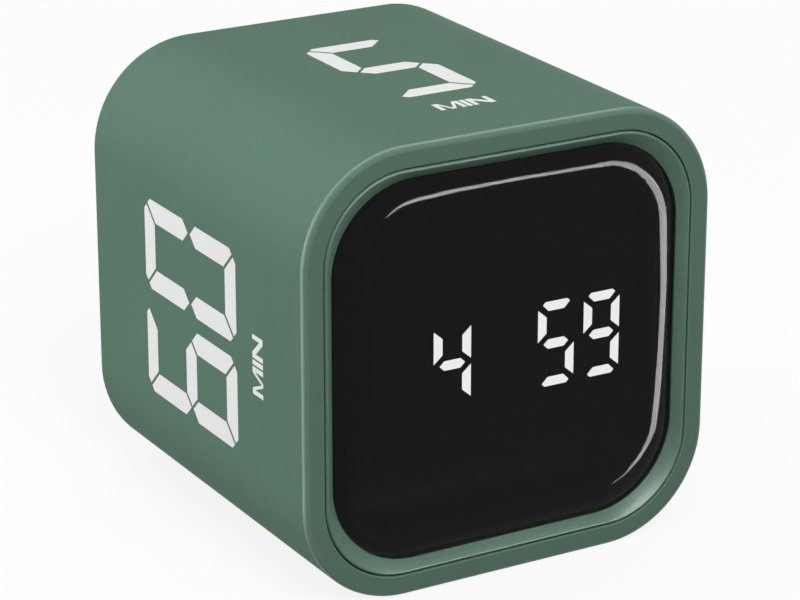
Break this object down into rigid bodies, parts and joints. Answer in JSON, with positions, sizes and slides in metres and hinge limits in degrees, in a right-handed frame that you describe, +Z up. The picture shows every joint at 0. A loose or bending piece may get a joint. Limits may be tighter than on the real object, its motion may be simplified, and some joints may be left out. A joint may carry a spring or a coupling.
{
  "type": "digital timer",
  "caption": "Rounded cube countdown timer that is started by standing it on a numbered side, with a lit digital display in front and a battery door, switch and buttons at the rear.",
  "frame": {"origin": "middle of the underside, on the surface that the timer stands on", "axes": "+Z up, -Y towards the display side, +X to the right seen from the front"},
  "size_m": [0.06, 0.06, 0.06],
  "materials": {
    "case_plastic": "soft-touch matte with a fine grain",
    "lens_black": "glossy smoked black",
    "adhesive": "black foam tape",
    "print_white": "white print",
    "segment_lit": "lit white",
    "segment_dark": "unlit",
    "black_plastic": "moulded black",
    "board_green": "solder resist",
    "steel": "plated",
    "can_metal": "sleeved metal can",
    "grey_plastic": "moulded grey",
    "ivory_plastic": "moulded ivory",
    "ribbon_grey": "ribbon insulation",
    "lead_red": "lead insulation",
    "lead_black": "lead insulation",
    "foam": "foam",
    "control_green": "darker green, matte"
  },
  "bodies": {
    "case": {"body_shell": "case_plastic", "front_bezel": "case_plastic", "rear_cover": "case_plastic", "display_lens": "lens_black", "lens_tape": "adhesive", "mark_5": "print_white", "mark_15": "print_white", "mark_30": "print_white", "mark_60": "print_white", "lit_segments": "segment_lit", "dark_segments": "segment_dark", "display_housing": "black_plastic", "controller_chip": "black_plastic", "driver_resistors": "black_plastic", "digit_transistors": "black_plastic", "buzzer": "black_plastic", "tact_switches": "black_plastic", "main_board": "board_green", "control_board": "board_green", "display_pins": "steel", "board_screws": "steel", "cover_screws": "steel", "control_board_screws": "steel", "positive_contact": "steel", "negative_contact": "steel", "bridge_contacts": "steel", "switch_frame": "steel", "crystal": "steel", "supply_capacitor": "can_metal", "battery_cells": "can_metal", "gravity_sensor": "grey_plastic", "cable_socket": "ivory_plastic", "control_cable": "ribbon_grey", "red_lead": "lead_red", "buzzer_leads": "lead_red", "black_lead": "lead_black"},
    "battery_door": {"battery_door": "case_plastic", "cell_pad": "foam"},
    "sound_switch": {"switch_knob": "control_green", "switch_lever": "ivory_plastic"},
    "minute_button": {"minute_button": "control_green", "minute_plunger": "ivory_plastic"},
    "second_button": {"second_button": "control_green", "second_plunger": "ivory_plastic"}
  },
  "joints": [
    {"name": "battery_door_hinge", "type": "hinge", "parent": "case", "child": "battery_door", "pos_m": [0, 0.0276, 0.01505], "axis": [-1, 0, 0], "range_deg": [0, 95]},
    {"name": "sound_switch_slide", "type": "slide", "parent": "case", "child": "sound_switch", "axis": [1, 0, 0], "range_m": [-0.002, 0.002]},
    {"name": "minute_button_press", "type": "slide", "parent": "case", "child": "minute_button", "axis": [0, -1, 0], "range_m": [0, 0.0005], "stiffness_N_per_m": 200},
    {"name": "second_button_press", "type": "slide", "parent": "case", "child": "second_button", "axis": [0, -1, 0], "range_m": [0, 0.0005], "stiffness_N_per_m": 200}
  ]
}
